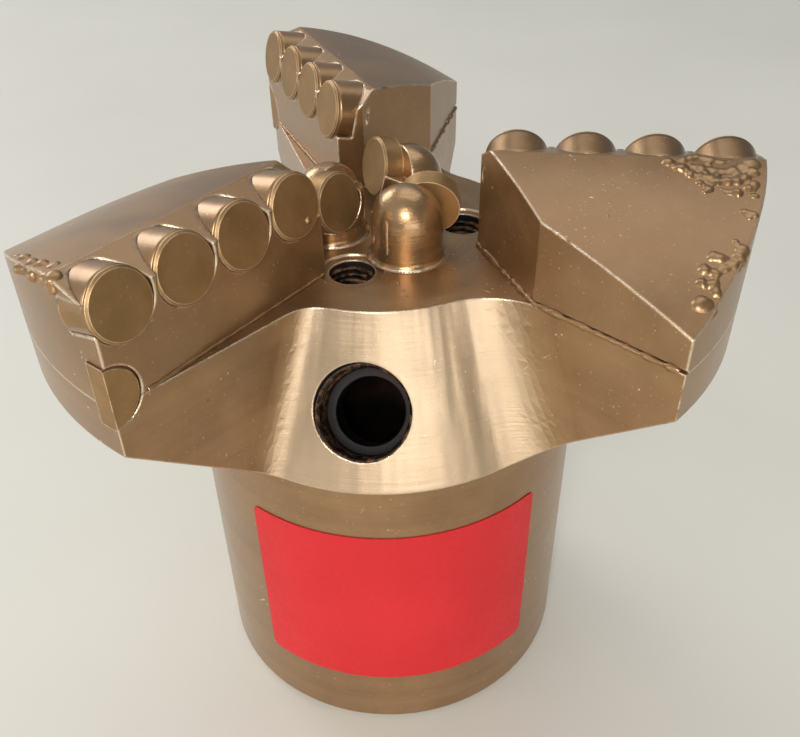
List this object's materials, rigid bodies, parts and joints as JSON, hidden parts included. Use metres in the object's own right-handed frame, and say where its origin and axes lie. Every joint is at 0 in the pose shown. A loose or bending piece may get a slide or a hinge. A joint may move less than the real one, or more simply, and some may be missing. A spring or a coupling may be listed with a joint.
{
  "type": "pdc drill bit",
  "caption": "Steel-body drill bit with welded wing blocks, brazed round cutters, turned centre posts, junk slots, side water ports and a tapered box connection.",
  "frame": {"origin": "on the axis of rotation at the end of the shank", "axes": "+Z along the axis towards the cutting end; the wings point out at 112, 232 and 352 degrees from +X"},
  "size_m": [0.1557, 0.1426, 0.1467],
  "materials": {
    "body_steel": "turned and milled steel under a thin satin coppery gold paint",
    "wing_steel": "ground steel block under satin coppery gold paint, rough at the welded corners",
    "post_steel": "turned steel with fine tool rings under coppery gold paint",
    "cutter": "carbide cutter with a matt painted face and a bright ground edge",
    "label": "plain red sticker"
  },
  "bodies": {
    "root": {"bit_body": "body_steel", "shank_label": "label", "wing_1": "wing_steel", "wing_2": "wing_steel", "wing_3": "wing_steel", "centre_post_1": "post_steel", "centre_post_2": "post_steel", "centre_post_3": "post_steel", "centre_cutter_1": "cutter", "centre_cutter_2": "cutter", "centre_cutter_3": "cutter", "gauge_cutter_1": "cutter", "gauge_cutter_2": "cutter", "gauge_cutter_3": "cutter", "face_cutter_1_1": "cutter", "face_cutter_2_1": "cutter", "face_cutter_3_1": "cutter", "face_cutter_1_2": "cutter", "face_cutter_2_2": "cutter", "face_cutter_3_2": "cutter", "face_cutter_1_3": "cutter", "face_cutter_2_3": "cutter", "face_cutter_3_3": "cutter", "face_cutter_1_4": "cutter", "face_cutter_2_4": "cutter", "face_cutter_3_4": "cutter"}
  },
  "joints": []
}
